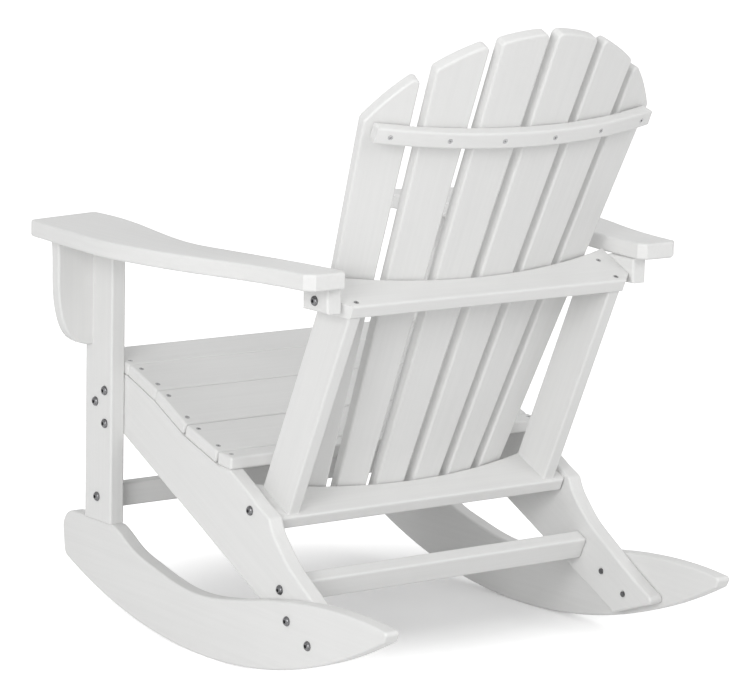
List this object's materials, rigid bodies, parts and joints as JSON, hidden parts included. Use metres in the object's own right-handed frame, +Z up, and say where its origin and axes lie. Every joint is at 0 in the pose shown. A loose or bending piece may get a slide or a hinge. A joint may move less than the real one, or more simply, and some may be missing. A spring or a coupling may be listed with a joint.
{
  "type": "rocking adirondack chair",
  "caption": "Rocking adirondack chair in white poly lumber with fanned back slats, wide flat arms, a curved slatted seat and long curved runners under the sides",
  "frame": {"origin": "on the floor, under the middle of the chair's bounding box, with the chair at rest on its runners", "axes": "+Z up, the sitter faces -Y, +X is the sitter's left"},
  "size_m": [0.8088, 0.8191, 0.912],
  "materials": {
    "lumber": "white plastic lumber, satin with a faint brushed grain along each board",
    "dark_steel": "dark plated steel",
    "screw_steel": "stainless steel"
  },
  "bodies": {
    "root": {"apron_screws": "screw_steel", "arm_block_bolts": "dark_steel", "arm_block_left": "lumber", "arm_block_right": "lumber", "arm_block_screws": "screw_steel", "arm_bracket_left": "lumber", "arm_bracket_right": "lumber", "arm_dowels": "lumber", "arm_left": "lumber", "arm_right": "lumber", "back_batten": "lumber", "back_slat_1": "lumber", "back_slat_2": "lumber", "back_slat_3": "lumber", "back_slat_4": "lumber", "back_slat_5": "lumber", "back_slat_6": "lumber", "back_slat_screws": "screw_steel", "back_upright_left": "lumber", "back_upright_right": "lumber", "barrel_nuts": "screw_steel", "batten_screws": "screw_steel", "bracket_screws": "screw_steel", "front_apron": "lumber", "front_leg_left": "lumber", "front_leg_right": "lumber", "front_stretcher": "lumber", "front_stretcher_bolts": "dark_steel", "leg_bolts": "dark_steel", "leg_dowels": "lumber", "lower_back_rail": "lumber", "lower_rail_bolts": "dark_steel", "rear_stretcher": "lumber", "rear_stretcher_bolts": "dark_steel", "rocker_bolts": "dark_steel", "rocker_left": "lumber", "rocker_right": "lumber", "seat_rail_left": "lumber", "seat_rail_right": "lumber", "seat_slat_1": "lumber", "seat_slat_2": "lumber", "seat_slat_3": "lumber", "seat_slat_4": "lumber", "seat_slat_5": "lumber", "seat_slat_screws": "screw_steel", "threaded_inserts": "dark_steel", "upper_back_rail": "lumber", "upright_screws": "screw_steel"}
  },
  "joints": []
}
